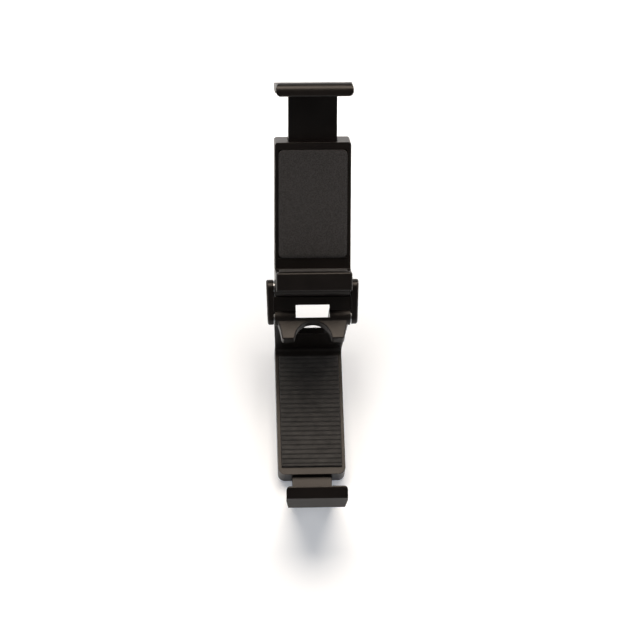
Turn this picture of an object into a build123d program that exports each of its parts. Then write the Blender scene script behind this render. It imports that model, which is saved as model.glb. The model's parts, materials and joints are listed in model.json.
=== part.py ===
from build123d import *
from math import cos, sin, tan, pi, radians, sqrt
import os

os.makedirs("parts", exist_ok=True)

# Two-jaw clip on a folding arm. All lengths are in millimetres, all angles in degrees.
# X runs across the clip, Y from the hook towards the hinge, and Z out of the gripped face.
# The origin is on the face of the rear pad, straight under the middle of the round notch.

# Clearances
slide_gap = 0.2            # round a sliding tongue
bore_gap = 0.05            # radial, round a hinge pin
seat_gap = 0.1             # round a pad, nut or cover in its seat
end_gap = 0.05             # each side of a hinge washer
swing_gap = 0.35           # between a turning barrel and the web that wraps it
cut_over = 1.0             # how far a cutting shape runs past the face that it cuts

# Rubber pads
pad_seat = 0.8             # depth of the recess that holds a pad
grip_pad_proud = 1.2       # height of the bracket's pads above their recess
jaw_pad_proud = 0.6        # height of the jaw pads above their recess
back_pad_proud = 0.8       # height of the long foam pad above its recess
pad_rim = 1.4              # plastic left round a pad

# Lower grip
grip_height = 36.0         # between the rear pad and the front pads
tab_width = 5.3            # each tab beside the round notch, at its front
notch_neck = 1.3           # plastic left behind the notch
neck_to_bridge = 2.7       # from the back of the plate to the inside of the bridge
plate_thickness = 4.6
plate_scoop_front = 2.6    # from the side of the knuckles in to the plate's front corner
plate_scoop_waist = 1.9    # the same, where the scooped side is half way back
plate_waist_y = 4.6
plate_corner = 0.9
plate_edge = 0.4
bridge_thickness = 2.6
bridge_flare_z = 30.0      # above this the bridge is as wide as the hinge
knuckle_length = 8.45      # each knuckle, beside the window
window_bottom = 18.0
window_corner = 2.0

# Spine with the slide of the hook
spine_half = 14.0
spine_front = -44.0
spine_depth = 7.6
spine_wall = 1.8
spine_corner = 3.0
heel_radius = 3.0
throat_radius = 3.0
heel_length = 4.1          # solid heel behind the end of the cover
cover_thickness = 1.4
cover_edge = 0.5
spine_screw_side = 3.2     # from the side of the spine
spine_screw_end = 5.0      # from either end of the cover

# Hinges
hinge_half = 15.4          # half width of the knuckles, the barrel and the jaws
knuckle_radius = 3.6
knuckle_drop = 2.3         # lower axis below the top of the plate
link_length = 12.2         # between the two axes
link_angle = 30.0          # the arm's rise at rest
washer_thickness = 0.5
washer_radius = 2.9
ear_radius = 3.2
ear_thickness_low = 2.3    # at the lower end of an ear
ear_thickness_high = 2.9   # at the upper end of an ear
ear_edge = 0.5
web_start = 5.2            # from the lower axis, along the arm
web_front = 2.6            # from the line between the axes towards the jaws
web_back = 2.0
web_heel = 0.3             # the side blocks of the web stay in front of this
barrel_radius = 4.2

# Hinge fasteners
screw_radius = 1.25
head_radius = 2.3
head_height = 1.2
head_seat = 1.1            # ear wall under a head
drive_width = 1.6
drive_depth = 0.7
nut_width = 5.0
nut_height = 2.0
nut_depth = 2.2
post_radius = 1.55
post_thread_radius = 0.85
post_thread_depth = 8.0

# Cover screws
tap_radius = 0.8
tap_length = 4.6
tap_sides = 8              # the hidden thread is drawn with flat sides
tap_head_radius = 1.7
tap_head_height = 0.9
boss_radius = 1.75

# Clamp, in its own frame: x across, q up the long side, r out of the back face
clamp_angle = 38.0
barrel_below = 9.3         # hinge axis below the lower pad face
barrel_behind = 4.3        # hinge axis behind the back pad face
clamp_opening = 74.0       # between the jaw pads at rest
jaw_reach = 10.0           # from the back pad to the inside of the jaw lips
lip_thickness = 2.2
lip_hold = 1.2             # how far the lower lip stands over its pad
lower_jaw_depth = 6.6
jaw_floor = 2.0
jaw_side_wall = 2.0
jaw_rib = 1.4
jaw_pocket_start = 1.2
housing_foot = 2.6         # below the lower pad face
housing_height = 52.0
housing_wall = 1.8
housing_inside = 8.0       # clear depth of the housing at its walls
housing_edge = 1.2
rear_cover_thickness = 1.6
foot_block = 3.6           # solid foot of the housing above the pad face
clamp_screw_side = 3.1     # from the side of the housing
clamp_screw_low = 3.1      # from the lower end of the rear cover
clamp_screw_high = 4.5     # from the upper end of the rear cover
upper_lip_hold = 0.7
upper_jaw_height = 4.3
upper_jaw_round = 3.0      # along the top of the lip
upper_jaw_corner = 2.2     # at the two ends of the head
upper_jaw_crown = 0.4      # the top is higher in the middle than at its ends
upper_lip_edge = 0.8
head_slope = 10.5          # degrees that the top falls away towards the back
head_back_edge = 1.0
head_stop_gap = 0.4        # between the head and the housing when the jaw is fully in
lip_corner = 1.2
lip_edge = 0.8
back_pad_start = 4.0
back_pad_end = 49.0

# Tongue of the upper jaw
stop_gap = 0.4             # between a stop ear and the wall beside it
stop_width = 3.4           # how far a stop ear stands out of the tongue
tongue_front = -3.6
tongue_rear = -9.4
tongue_start = 24.0
tongue_wall = 1.6
tongue_web = 1.6
tongue_channel_top = 68.0
stop_height = 3.0
jaw_travel_out = 8.0
jaw_travel_in = 20.0
rail_width = 1.3

# Hook
hook_travel_out = 8.0
hook_lip_half = 12.4
hook_base_half = 11.5
hook_foot_step = 1.2       # how far the foot is wider than the tongue on each side
hook_taper_z = 29.6        # the sides run in below this
hook_lip_top = 33.5
hook_lip_thickness = 2.2
hook_lip_inner_y = -60.5
hook_lip_flat = 0.6        # level part of the lip, next to its inner edge
hook_brow_y = -65.2        # front edge of the sloping part of the lip
hook_brow_drop = 1.7
hook_front_y = -66.6
hook_wall = 2.2
hook_bend_z = 24.0
hook_bend_radius = 1.2
hook_foot_y = -52.4
hook_pad_thickness = 1.0
hook_pad_side = 1.2        # from the end of the pad to the side of the hook
hook_pad_bottom = 25.0
hook_lip_corner = 1.6
hook_stop_gap = 0.3
hook_stop_width = 3.7
hook_tongue_height = 4.8
hook_tongue_end = -14.0
hook_tongue_clear = 0.4    # above the cover
hook_channel_floor = 1.6

# Springs
clamp_spring_side = 3.4    # from a spring's middle to the wall of the tongue
clamp_spring_low = 7.0
clamp_spring_high = 46.0
clamp_coil_radius = 1.55
clamp_wire_radius = 0.25
clamp_turns = 5
clamp_post_radius = 1.15
hook_spring_back = 5.5
hook_spring_front = -20.0
hook_coil_radius = 1.2
hook_wire_radius = 0.2
hook_turns = 4
hook_post_radius = 0.9
spring_leg = 2.2           # from a post to the first turn
steps_per_turn = 8         # straight stretches of wire in a turn
hook_step = 45             # degrees, the same in the hooks
wire_sides = 4
post_end_gap = 0.3

# Heights and places that follow from the sizes above
notch_radius = hinge_half - plate_scoop_front - tab_width
window_half = hinge_half - knuckle_length
plate_bottom = grip_height + grip_pad_proud
plate_top = plate_bottom + plate_thickness
plate_rear = notch_radius + notch_neck
bridge_inner_y = plate_rear + neck_to_bridge
bridge_outer_y = bridge_inner_y + bridge_thickness
axis_low_y = bridge_outer_y - knuckle_radius
axis_low_z = plate_top - knuckle_drop
axis_high_y = axis_low_y + link_length * cos(radians(link_angle))
axis_high_z = axis_low_z + link_length * sin(radians(link_angle))
spine_top = -grip_pad_proud
spine_bottom = spine_top - spine_depth
spine_ceiling = spine_top - spine_wall
cover_bottom = spine_bottom - cover_thickness
heel_y = bridge_outer_y - heel_length
spine_half_inside = spine_half - spine_wall
plate_front_half = hinge_half - plate_scoop_front
plate_waist_half = hinge_half - plate_scoop_waist
ear_inner = hinge_half + washer_thickness + 2 * end_gap
ear_outer_low = ear_inner + ear_thickness_low
ear_outer_high = ear_inner + ear_thickness_high
head_inner = ear_inner + head_seat
screw_bore = screw_radius + bore_gap
post_bore = post_radius + bore_gap

shell_front = -back_pad_proud
shell_rear = shell_front - housing_wall - housing_inside
lip_outer = jaw_reach + lip_thickness
jaw_top_q = clamp_opening + jaw_pad_proud
jaw_end_q = jaw_top_q + upper_jaw_height
head_root_q = housing_height + jaw_travel_in + head_stop_gap
head_back_q = jaw_end_q - (lip_outer - shell_rear) * tan(radians(head_slope))
stop_half = hinge_half - housing_wall - stop_gap
tongue_half = stop_half - stop_width
clamp_spring_x = tongue_half - tongue_wall - clamp_spring_side
channel_floor_r = tongue_front - tongue_web
clamp_spring_r = (tongue_rear + channel_floor_r) / 2

hook_stop_half = spine_half_inside - hook_stop_gap
hook_tongue_half = hook_stop_half - hook_stop_width
hook_foot_half = hook_tongue_half + hook_foot_step
tongue_low_z = spine_bottom + hook_tongue_clear
tongue_high_z = tongue_low_z + hook_tongue_height
hook_channel_z = tongue_high_z - hook_channel_floor
hook_spring_z = (tongue_low_z + hook_channel_z) / 2

# Frames of the arm and of the clamp
arm_lean = radians(link_angle)
arm_frame = Plane((0, axis_low_y, axis_low_z), x_dir=(1, 0, 0), z_dir=(0, -sin(arm_lean), cos(arm_lean)))
clamp_lean = radians(clamp_angle)
clamp_origin_y = axis_high_y + barrel_below * cos(clamp_lean) - barrel_behind * sin(clamp_lean)
clamp_origin_z = axis_high_z + barrel_below * sin(clamp_lean) + barrel_behind * cos(clamp_lean)
clamp_frame = Plane(
    (0, clamp_origin_y, clamp_origin_z), x_dir=(1, 0, 0), z_dir=(0, -sin(clamp_lean), cos(clamp_lean))
)

# Places of the cover screws
spine_screw_x = spine_half - spine_screw_side
spine_screw_y = (spine_front + spine_screw_end, heel_y - spine_screw_end)
spine_screws = [(x, y) for x in (-spine_screw_x, spine_screw_x) for y in spine_screw_y]
clamp_screw_x = hinge_half - clamp_screw_side
clamp_screw_q = (clamp_screw_low - housing_foot, housing_height - clamp_screw_high)
clamp_screws = [(x, q) for x in (-clamp_screw_x, clamp_screw_x) for q in clamp_screw_q]


def block(x_range, y_range, z_range):
    """Box between two corners, given as a range along each axis."""
    ranges = (x_range, y_range, z_range)
    size = [high - low for low, high in ranges]
    middle = [(high + low) / 2 for low, high in ranges]
    return Pos(*middle) * Box(*size)


def wide(half):
    """Range across the clip, from one side to the other."""
    return (-half, half)


def across(profile, x_range):
    """Solid across the clip from a side view, whose sketch axes are Y and Z."""
    solid = extrude(Plane.YZ * profile, x_range[1] - x_range[0], dir=(1, 0, 0))
    return Pos(x_range[0], 0, 0) * solid


def lengthwise(profile, y_range):
    """Solid along the clip from a front view, whose sketch axes are X and Z."""
    solid = extrude(Plane.XZ * profile, y_range[1] - y_range[0], dir=(0, 1, 0))
    return Pos(0, y_range[0], 0) * solid


def raised(profile, z_range):
    """Solid along Z from a top view."""
    return Pos(0, 0, z_range[0]) * extrude(profile, z_range[1] - z_range[0], dir=(0, 0, 1))


def round_across(radius, x_range, y, z):
    """Cylinder along X."""
    return across(Pos(y, z) * Circle(radius), x_range)


def hexagon_across(width, x_range, y, z):
    """Hexagonal prism along X, width measured across its flats."""
    return across(Pos(y, z) * RegularPolygon(width / 2, 6, major_radius=False), x_range)


def upright(radius, x, y, z_range):
    """Cylinder along Z."""
    return Pos(x, y, (z_range[0] + z_range[1]) / 2) * Cylinder(radius, z_range[1] - z_range[0])


def side_range(side, inner, outer):
    """Range along X on one side of the middle."""
    return (min(side * inner, side * outer), max(side * inner, side * outer))


def plate_outline(inset, rear):
    """Top view of the front plate with its scooped sides and round notch, pulled in by inset."""
    back_corner = (hinge_half - inset, rear)
    waist = (plate_waist_half - inset, plate_waist_y)
    front_corner = (plate_front_half - inset, inset)
    right = ThreePointArc(back_corner, waist, front_corner)
    left = mirror(right, Plane.YZ)
    back = Line(back_corner, (-back_corner[0], rear))
    front = Line(front_corner, (-front_corner[0], inset))
    return make_face([right, front, left, back]) - Circle(notch_radius + inset)


def front_plate():
    """Plate that lies on the gripped face, with rounded corners at the ends of its two tabs."""
    plate = raised(plate_outline(0, axis_low_y), (plate_bottom, plate_top))
    corners = plate.edges().filter_by(Axis.Z).group_by(Axis.Y)[0]
    plate = fillet(corners, plate_corner)
    tab_rims = [edge for edge in plate.faces().sort_by(Axis.Z)[-1].edges() if edge.center().Y < plate_rear]
    return chamfer(tab_rims, plate_edge)


def bridge_and_spine():
    """Side view of the bridge, its heel and the spine, swept across and trimmed to the front view."""
    side_view = Polygon(
        (bridge_outer_y, axis_low_z),
        (bridge_outer_y, cover_bottom),
        (heel_y, cover_bottom),
        (heel_y, spine_bottom),
        (spine_front, spine_bottom),
        (spine_front, spine_top),
        (bridge_inner_y, spine_top),
        (bridge_inner_y, axis_low_z),
        align=None,
    )
    heel = side_view.vertices().sort_by_distance((bridge_outer_y, cover_bottom))[0]
    side_view = fillet(heel, heel_radius)
    throat = side_view.vertices().sort_by_distance((bridge_inner_y, spine_top))[0]
    side_view = fillet(throat, throat_radius)
    front_view = Polygon(
        (-spine_half, cover_bottom),
        (spine_half, cover_bottom),
        (spine_half, spine_top),
        (hinge_half, bridge_flare_z),
        (hinge_half, plate_top),
        (-hinge_half, plate_top),
        (-hinge_half, bridge_flare_z),
        (-spine_half, spine_top),
        align=None,
    )
    body = across(side_view, wide(hinge_half)) & lengthwise(front_view, (spine_front, bridge_outer_y))
    ends = body.edges().filter_by(Axis.Z).group_by(Axis.Y)[0]
    body = fillet(ends, spine_corner)
    return body


def slide_rail(side, half_inside, y_range, z_range):
    """Rib that guides one side of a sliding tongue."""
    inner = half_inside + slide_gap
    return block(side_range(side, inner, inner + rail_width), y_range, z_range)


def spine_cavity():
    """Space inside the spine, less the rails, screw bosses and spring post that stand in it."""
    cavity_z = (spine_bottom - cut_over, spine_ceiling)
    inside_y = (spine_front + spine_wall, heel_y - spine_wall)
    cavity = block(wide(spine_half_inside), inside_y, cavity_z)
    rail_y = (spine_front, hook_tongue_end - stop_height - hook_travel_out - slide_gap)
    solid_z = (spine_bottom, spine_ceiling)
    for side in (-1, 1):
        cavity -= slide_rail(side, hook_tongue_half, rail_y, solid_z)
    for x, y in spine_screws:
        cavity -= upright(boss_radius, x, y, solid_z)
    post_z = (spine_bottom + post_end_gap, spine_ceiling)
    cavity -= upright(hook_post_radius, 0, hook_spring_back, post_z)
    mouth_y = (spine_front - cut_over, spine_front + spine_wall + cut_over)
    mouth_z = (spine_bottom - cut_over, tongue_high_z + slide_gap)
    return cavity + block(wide(hook_tongue_half + slide_gap), mouth_y, mouth_z)


def base_bracket():
    """Front plate, knuckles, bridge and spine, moulded as one piece."""
    body = bridge_and_spine() + front_plate()
    body += round_across(knuckle_radius, wide(hinge_half), axis_low_y, axis_low_z)
    window_y = (plate_rear, bridge_outer_y + cut_over)
    window = block(wide(window_half), window_y, (window_bottom, plate_top + knuckle_radius))
    sill = window.edges().filter_by(Axis.Y).group_by(Axis.Z)[0]
    body -= fillet(sill, window_corner)
    body -= spine_cavity()
    pad_x = wide(spine_half - pad_rim)
    pad_y = (spine_front + pad_rim + spine_wall, bridge_inner_y - heel_radius)
    body -= block(pad_x, pad_y, (spine_top - pad_seat, spine_top + cut_over))
    body -= raised(plate_outline(pad_rim, plate_rear - pad_rim), (plate_bottom, plate_bottom + pad_seat))
    body -= round_across(screw_bore, wide(hinge_half + cut_over), axis_low_y, axis_low_z)
    for side in (-1, 1):
        pocket_x = side_range(side, window_half - cut_over, window_half + nut_depth)
        body -= hexagon_across(nut_width + 2 * seat_gap, pocket_x, axis_low_y, axis_low_z)
    for x, y in spine_screws:
        body -= upright(tap_radius + bore_gap, x, y, (spine_bottom - cut_over, spine_bottom + tap_length))
    return body


def front_grip_pads():
    """Two rubber pads under the tabs of the front plate."""
    outline = plate_outline(pad_rim + seat_gap, plate_rear - pad_rim - seat_gap)
    return raised(outline, (grip_height, plate_bottom + pad_seat))


def rear_grip_pad():
    """Long rubber pad on the spine."""
    pad_x = wide(spine_half - pad_rim - seat_gap)
    front = spine_front + pad_rim + spine_wall + seat_gap
    back = bridge_inner_y - heel_radius - seat_gap
    return block(pad_x, (front, back), (spine_top - pad_seat, 0))


def spine_cover():
    """Flat cover under the spine, with counterbored screw holes."""
    cover = block(wide(spine_half), (spine_front, heel_y - seat_gap), (cover_bottom, spine_bottom))
    cover = fillet(cover.edges().filter_by(Axis.Z).group_by(Axis.Y)[0], spine_corner)
    cover = chamfer(cover.faces().sort_by(Axis.Z)[0].edges(), cover_edge)
    for x, y in spine_screws:
        cover -= upright(tap_radius + bore_gap, x, y, (cover_bottom - cut_over, spine_bottom + cut_over))
        seat_z = (cover_bottom - cut_over, cover_bottom + tap_head_height)
        cover -= upright(tap_head_radius + seat_gap, x, y, seat_z)
    return cover


def tapping_screw(x, y, head_z):
    """Small cheese-head screw pointing up."""
    neck_z = head_z + tap_head_height
    head = upright(tap_head_radius, x, y, (head_z, neck_z))
    thread = raised(Pos(x, y) * RegularPolygon(tap_radius, tap_sides), (neck_z, neck_z + tap_length))
    return head + thread


def spine_cover_screws():
    """Four screws that hold the spine cover."""
    return Compound([tapping_screw(x, y, cover_bottom) for x, y in spine_screws])


def hinge_screw_head(side):
    """Cylinder head with a hexagonal drive, seated in the ear on one side."""
    head_x = side_range(side, head_inner, head_inner + head_height)
    drive_x = side_range(side, head_inner + head_height - drive_depth, head_inner + head_height + cut_over)
    return round_across(head_radius, head_x, 0, 0) - hexagon_across(drive_width, drive_x, 0, 0)


def lower_hinge_screws():
    """One short screw from each side, through the ear and the knuckle into its nut."""
    screws = []
    for side in (-1, 1):
        shank = round_across(screw_radius, side_range(side, window_half, head_inner), 0, 0)
        screws.append(Pos(0, axis_low_y, axis_low_z) * (hinge_screw_head(side) + shank))
    return Compound(screws)


def lower_hinge_nuts():
    """Hexagon nuts in the pockets on the window side of the knuckles."""
    nuts = []
    for side in (-1, 1):
        nut_x = side_range(side, window_half + nut_depth - nut_height, window_half + nut_depth)
        nut = hexagon_across(nut_width, nut_x, axis_low_y, axis_low_z)
        nuts.append(nut - round_across(screw_bore, nut_x, axis_low_y, axis_low_z))
    return Compound(nuts)


def hinge_washers(y, z, bore):
    """A steel washer on each side, between the ear and what turns in it."""
    washers = []
    for side in (-1, 1):
        washer_x = side_range(side, hinge_half + end_gap, hinge_half + end_gap + washer_thickness)
        washers.append(round_across(washer_radius, washer_x, y, z) - round_across(bore, washer_x, y, z))
    return Compound(washers)


def hinge_arm():
    """Two ears joined by a web that is hollowed to wrap the knuckles and the barrel.

    Shoulders on the inside of the ears close the gap beside what turns there, round the washers.
    """
    link = Pos(link_length / 2, 0) * SlotCenterToCenter(link_length, 2 * ear_radius)
    ears = across(link, wide(ear_outer_high)) - across(link, wide(ear_inner))
    lower_end = -ear_radius
    upper_end = link_length + ear_radius
    top_view = Polygon(
        (-ear_outer_low, lower_end),
        (ear_outer_low, lower_end),
        (ear_outer_high, upper_end),
        (-ear_outer_high, upper_end),
        align=None,
    )
    ears &= raised(top_view, wide(ear_radius))
    outer_faces = ears.faces().sort_by(Axis.X)
    ears = chamfer(outer_faces[0].edges() + outer_faces[-1].edges(), ear_edge)
    web = block(wide(ear_inner), (web_start, link_length), (-web_back, web_front))
    for side in (-1, 1):
        web += block(side_range(side, window_half, ear_inner), (0, web_start), (web_heel, web_front))
    web -= round_across(knuckle_radius + swing_gap, wide(ear_inner), 0, 0)
    web -= round_across(barrel_radius + swing_gap, wide(ear_inner), link_length, 0)
    beside = ((0, link_length), (-web_back, web_front))
    shoulders = block(wide(ear_inner), *beside) - block(wide(hinge_half + slide_gap), *beside)
    for t in (0, link_length):
        shoulders -= round_across(washer_radius + seat_gap, wide(ear_inner), t, 0)
    arm = ears + web + shoulders
    for t, bore in ((0, screw_bore), (link_length, post_bore)):
        arm -= round_across(bore, wide(ear_outer_high + cut_over), t, 0)
        for side in (-1, 1):
            seat_x = side_range(side, head_inner, ear_outer_high + cut_over)
            arm -= round_across(head_radius + seat_gap, seat_x, t, 0)
    return arm_frame.location * arm


def upper_hinge_post():
    """Headed post through the barrel, hollow and threaded at its far end."""
    stem = round_across(post_radius, (-head_inner, head_inner - seat_gap), 0, 0)
    thread_x = (head_inner - post_thread_depth - cut_over, head_inner)
    stem -= round_across(post_thread_radius + bore_gap, thread_x, 0, 0)
    return Pos(0, axis_high_y, axis_high_z) * (stem + hinge_screw_head(-1))


def upper_hinge_screw():
    """Screw that closes the post from the other side."""
    shank = round_across(post_thread_radius, (head_inner - post_thread_depth, head_inner), 0, 0)
    return Pos(0, axis_high_y, axis_high_z) * (shank + hinge_screw_head(1))


def lower_jaw():
    """Jaw with its lip, ribbed on the underside, in the clamp's frame."""
    floor_q = -jaw_pad_proud
    jaw = block(wide(hinge_half), (-lower_jaw_depth, floor_q), (shell_front, lip_outer))
    jaw += block(wide(hinge_half), (floor_q, lip_hold), (jaw_reach, lip_outer))
    top_edges = jaw.edges().filter_by(Axis.Z).group_by(Axis.Y)[-1]
    jaw = fillet(top_edges, lip_corner)
    front_edges = jaw.faces().sort_by(Axis.Z)[-1].edges()
    jaw = fillet(front_edges, lip_edge)
    pocket_half = hinge_half - jaw_side_wall
    pocket_count = 4
    pitch = (2 * pocket_half + jaw_rib) / pocket_count
    pocket_q = (-lower_jaw_depth - cut_over, floor_q - pad_seat - jaw_floor)
    for index in range(pocket_count):
        start = -pocket_half + index * pitch
        jaw -= block((start, start + pitch - jaw_rib), pocket_q, (jaw_pocket_start, jaw_reach))
    return jaw


def housing_cavity():
    """Space inside the clamp housing, less its rails and screw bosses, in the clamp's frame."""
    ceiling = shell_front - housing_wall
    solid_r = (shell_rear, ceiling)
    inside_q = (foot_block, housing_height - housing_wall)
    cavity = block(wide(hinge_half - housing_wall), inside_q, (shell_rear - cut_over, ceiling))
    rail_start = tongue_start + stop_height + jaw_travel_out + slide_gap
    for side in (-1, 1):
        cavity -= slide_rail(side, tongue_half, (rail_start, housing_height), solid_r)
    for x, q in clamp_screws:
        if q > foot_block:
            cavity -= upright(boss_radius, x, q, solid_r)
    mouth_q = (housing_height - housing_wall - cut_over, housing_height + cut_over)
    mouth_r = (tongue_rear - slide_gap, tongue_front + slide_gap)
    return cavity + block(wide(tongue_half + slide_gap), mouth_q, mouth_r)


def clamp_housing():
    """Housing, lower jaw and hinge barrel, moulded as one piece."""
    shell = block(wide(hinge_half), (-housing_foot, housing_height), (shell_rear, shell_front))
    shell = fillet(shell.edges().filter_by(Axis.Z).group_by(Axis.Y)[-1], housing_edge)
    neck_r = (-barrel_behind - barrel_radius, -barrel_behind + barrel_radius)
    body = shell + lower_jaw() + block(wide(hinge_half), (-barrel_below, -housing_foot), neck_r)
    body += round_across(barrel_radius, wide(hinge_half), -barrel_below, -barrel_behind)
    body -= housing_cavity()
    body -= round_across(post_bore, wide(hinge_half + cut_over), -barrel_below, -barrel_behind)
    for x, q in clamp_screws:
        body -= upright(tap_radius + bore_gap, x, q, (shell_rear - cut_over, shell_rear + tap_length))
    pad_x = wide(hinge_half - pad_rim)
    body -= block(pad_x, (back_pad_start, back_pad_end), (shell_front - pad_seat, shell_front + cut_over))
    floor_q = -jaw_pad_proud
    body -= block(pad_x, (floor_q - pad_seat, floor_q + cut_over), (pad_rim, jaw_reach - pad_rim))
    return clamp_frame.location * body


def clamp_rear_cover():
    """Back of the housing, with the two posts that hold the springs."""
    outer = shell_rear - rear_cover_thickness
    cover = block(wide(hinge_half), (-housing_foot, housing_height), (outer, shell_rear))
    cover = fillet(cover.edges().filter_by(Axis.Z), housing_edge)
    cover = chamfer(cover.faces().sort_by(Axis.Z)[0].edges(), cover_edge)
    for x, q in clamp_screws:
        cover -= upright(tap_radius + bore_gap, x, q, (outer - cut_over, shell_rear + cut_over))
        cover -= upright(tap_head_radius + seat_gap, x, q, (outer - cut_over, outer + tap_head_height))
    for x in (-clamp_spring_x, clamp_spring_x):
        cover += upright(clamp_post_radius, x, clamp_spring_low, (shell_rear, channel_floor_r - post_end_gap))
    return clamp_frame.location * cover


def rear_cover_screws():
    """Four screws that hold the rear cover."""
    outer = shell_rear - rear_cover_thickness
    return clamp_frame.location * Compound([tapping_screw(x, q, outer) for x, q in clamp_screws])


def jaw_pad(face_q, depth):
    """Rubber pad of a jaw, from its face into its recess."""
    pad_x = wide(hinge_half - pad_rim - seat_gap)
    pad_q = (min(face_q, face_q + depth), max(face_q, face_q + depth))
    return clamp_frame.location * block(pad_x, pad_q, (pad_rim + seat_gap, jaw_reach - pad_rim - seat_gap))


def back_pad():
    """Long foam pad on the front of the housing."""
    pad_x = wide(hinge_half - pad_rim - seat_gap)
    pad_q = (back_pad_start + seat_gap, back_pad_end - seat_gap)
    return clamp_frame.location * block(pad_x, pad_q, (shell_front - pad_seat, 0))


def upper_tongue():
    """Channel-shaped tongue of the upper jaw, with stop ears and spring posts."""
    tongue_r = (tongue_rear, tongue_front)
    tongue = block(wide(tongue_half), (tongue_start, head_root_q), tongue_r)
    channel_q = (tongue_start - cut_over, tongue_channel_top)
    tongue -= block(wide(tongue_half - tongue_wall), channel_q, (tongue_rear - cut_over, channel_floor_r))
    for side in (-1, 1):
        ear_x = side_range(side, tongue_half, stop_half)
        tongue += block(ear_x, (tongue_start, tongue_start + stop_height), tongue_r)
        post_r = (tongue_rear + post_end_gap, channel_floor_r)
        tongue += upright(clamp_post_radius, side * clamp_spring_x, clamp_spring_high, post_r)
    return tongue


def head_front_view(low_q):
    """Front view of the head from low_q up to its crowned top, with round upper corners."""
    side_q = jaw_end_q - upper_jaw_crown
    top = ThreePointArc((-hinge_half, side_q), (0, jaw_end_q), (hinge_half, side_q))
    below = Polyline((hinge_half, side_q), (hinge_half, low_q), (-hinge_half, low_q), (-hinge_half, side_q))
    view = make_face([top, below])
    return fillet(view.vertices().group_by(Axis.Y)[-1], upper_jaw_corner)


def upper_jaw():
    """Sliding jaw: a lipped head on a tongue that runs in the housing."""
    lip_q = clamp_opening - upper_lip_hold
    side_view = Polygon(
        (lip_q, jaw_reach),
        (lip_q, lip_outer),
        (jaw_end_q, lip_outer),
        (head_back_q, shell_rear),
        (head_root_q, shell_rear),
        (head_root_q, shell_front),
        (jaw_top_q, pad_rim),
        (jaw_top_q, jaw_reach),
        align=None,
    )
    brow = side_view.vertices().sort_by_distance((jaw_end_q, lip_outer))[0]
    side_view = fillet(brow, upper_jaw_round)
    lip_foot = side_view.vertices().sort_by_distance((lip_q, lip_outer))[0]
    side_view = fillet(lip_foot, upper_lip_edge)
    back = side_view.vertices().sort_by_distance((head_back_q, shell_rear))[0]
    side_view = fillet(back, head_back_edge)
    lip_view = head_front_view(lip_q)
    lip_view = fillet(lip_view.vertices().group_by(Axis.Y)[0], upper_jaw_corner)
    front = raised(head_front_view(head_root_q), (shell_rear, jaw_reach))
    front += raised(lip_view, (jaw_reach, lip_outer))
    jaw = (across(side_view, wide(hinge_half)) & front) + upper_tongue()
    pad_x = wide(hinge_half - pad_rim)
    jaw -= block(pad_x, (jaw_top_q - cut_over, jaw_top_q + pad_seat), (pad_rim, jaw_reach - pad_rim))
    return clamp_frame.location * jaw


def slope_y(z):
    """Outer face of the hook's slope at height z."""
    share = (hook_bend_z - z) / (hook_bend_z - tongue_low_z)
    return hook_front_y + share * (hook_foot_y - hook_front_y)


def hook_side_view():
    """Side view of the lip, the front wall and the slope down to the tongue."""
    slope = sqrt((hook_foot_y - hook_front_y) ** 2 + (hook_bend_z - tongue_low_z) ** 2)
    slope_width = hook_wall * slope / (hook_bend_z - tongue_low_z)
    return Polygon(
        (hook_lip_inner_y, hook_lip_top),
        (hook_lip_inner_y - hook_lip_flat, hook_lip_top),
        (hook_brow_y, hook_lip_top - hook_brow_drop),
        (hook_front_y, hook_bend_z),
        (hook_foot_y, tongue_low_z),
        (hook_foot_y + slope_width, tongue_low_z),
        (hook_foot_y + slope_width, tongue_high_z),
        (slope_y(tongue_high_z) + slope_width, tongue_high_z),
        (hook_front_y + hook_wall, hook_bend_z),
        (hook_front_y + hook_wall, hook_lip_top - hook_lip_thickness),
        (hook_lip_inner_y, hook_lip_top - hook_lip_thickness),
        align=None,
    )


def hook_front_view():
    """Front view of the hook, which narrows from the lip down to the tongue."""
    return Polygon(
        (-hook_lip_half, hook_lip_top),
        (hook_lip_half, hook_lip_top),
        (hook_lip_half, hook_taper_z),
        (hook_base_half, hook_bend_z),
        (hook_foot_half, tongue_low_z),
        (-hook_foot_half, tongue_low_z),
        (-hook_base_half, hook_bend_z),
        (-hook_lip_half, hook_taper_z),
        align=None,
    )


def lower_hook():
    """Sliding hook: lip, front wall and slope, with a channel-shaped tongue inside the spine."""
    side_view = hook_side_view()
    bend = side_view.vertices().sort_by_distance((hook_front_y, hook_bend_z))[0]
    side_view = fillet(bend, hook_bend_radius)
    reach = lengthwise(hook_front_view(), (hook_front_y, hook_tongue_end))
    hook = across(side_view, wide(hook_lip_half)) & reach
    lip_corners = hook.edges().filter_by(Axis.Z).group_by(Axis.Y)[-1]
    hook = fillet(lip_corners, hook_lip_corner)
    tongue_z = (tongue_low_z, tongue_high_z)
    tongue = block(wide(hook_tongue_half), (hook_foot_y, hook_tongue_end), tongue_z)
    channel_y = (spine_front, hook_tongue_end + cut_over)
    channel_x = wide(hook_tongue_half - tongue_wall)
    tongue -= block(channel_x, channel_y, (tongue_low_z - cut_over, hook_channel_z))
    post_z = (tongue_low_z + post_end_gap, hook_channel_z)
    tongue += upright(hook_post_radius, 0, hook_spring_front, post_z)
    for side in (-1, 1):
        ear_y = (hook_tongue_end - stop_height, hook_tongue_end)
        tongue += block(side_range(side, hook_tongue_half, hook_stop_half), ear_y, tongue_z)
    return hook + tongue


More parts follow.
